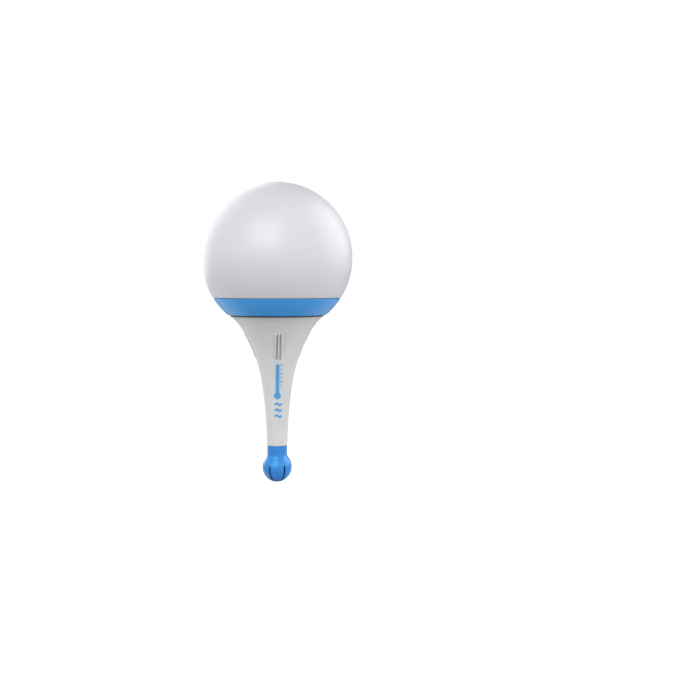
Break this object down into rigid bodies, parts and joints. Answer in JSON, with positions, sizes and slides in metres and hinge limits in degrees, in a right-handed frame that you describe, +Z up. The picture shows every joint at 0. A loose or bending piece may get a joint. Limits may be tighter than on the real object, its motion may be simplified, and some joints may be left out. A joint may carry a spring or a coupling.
{
  "type": "floating pool thermometer",
  "caption": "Round white float with a blue band, flaring into a slim weighted grey stem with a slotted blue sensor tip; the globe screws off over cells and a radio board.",
  "frame": {"origin": "on the float's axis at the calm water's surface, where its weight is carried", "axes": "+Z up along the float's axis from the sensor tip to the globe; -Y is the front, towards the battery tray and the printed face"},
  "size_m": [0.095, 0.095, 0.1884],
  "materials": {
    "globe_white": "satin",
    "band_blue": "satin",
    "stem_grey": "satin",
    "tip_blue": "gloss",
    "seal_rubber": "matte",
    "steel": "satin",
    "nickel": "polished",
    "holder_ivory": "matte",
    "board_green": "satin",
    "chip_black": "matte",
    "cell_jacket": "satin",
    "copper": "satin",
    "led_red": "gloss",
    "wire_red": "satin",
    "wire_black": "satin",
    "lead_grey": "satin"
  },
  "bodies": {
    "stem": {"stem_funnel": "stem_grey", "tip_cage": "tip_blue", "probe_cup": "steel", "probe_plug": "seal_rubber", "thermistor": "chip_black", "ballast_weight": "steel", "battery_holder": "holder_ivory", "holder_screw_1": "steel", "holder_screw_2": "steel", "holder_screw_3": "steel", "holder_screw_4": "steel", "bridge_contact": "nickel", "bridge_spring": "nickel", "positive_contact": "nickel", "negative_contact": "nickel", "negative_spring": "nickel", "circuit_board": "board_green", "board_screw_1": "steel", "board_screw_2": "steel", "control_chip": "chip_black", "radio_chip": "chip_black", "crystal": "steel", "capacitor": "cell_jacket", "status_led": "led_red", "antenna": "copper", "channel_switch": "steel", "test_switch": "chip_black", "lead_socket": "holder_ivory", "lead_plug": "holder_ivory", "sensor_lead_1": "lead_grey", "sensor_lead_2": "lead_grey", "red_wire": "wire_red", "black_wire": "wire_black"},
    "seal": {"sealing_washer": "seal_rubber"},
    "cap": {"globe": "globe_white", "blue_band": "band_blue"},
    "battery_1": {"battery_1": "cell_jacket"},
    "battery_2": {"battery_2": "cell_jacket"},
    "channel_slider": {"channel_slider": "chip_black"},
    "test_button": {"test_button": "holder_ivory"}
  },
  "joints": [
    {"name": "cap_rise", "type": "slide", "parent": "stem", "child": "seal", "axis": [0, 0, 1], "range_m": [0, 0.0721]},
    {"name": "cap_turn", "type": "hinge", "parent": "seal", "child": "cap", "pos_m": [0, 0, 0], "axis": [0, 0, 1], "range_deg": [0, 1080]},
    {"name": "battery_1_out", "type": "slide", "parent": "stem", "child": "battery_1", "axis": [0, -1, 0], "range_m": [0, 0.01]},
    {"name": "battery_2_out", "type": "slide", "parent": "stem", "child": "battery_2", "axis": [0, -1, 0], "range_m": [0, 0.01]},
    {"name": "channel_slide", "type": "slide", "parent": "stem", "child": "channel_slider", "axis": [1, 0, 0], "range_m": [-0.004, 0]},
    {"name": "test_press", "type": "slide", "parent": "stem", "child": "test_button", "axis": [0, -1, 0], "range_m": [0, 0.0003], "stiffness_N_per_m": 100, "springref_m": -0.0005}
  ],
  "couplings": [
    {"joint": "cap_rise", "follows": "cap_turn", "m_per_rad": 0.0038197}
  ]
}
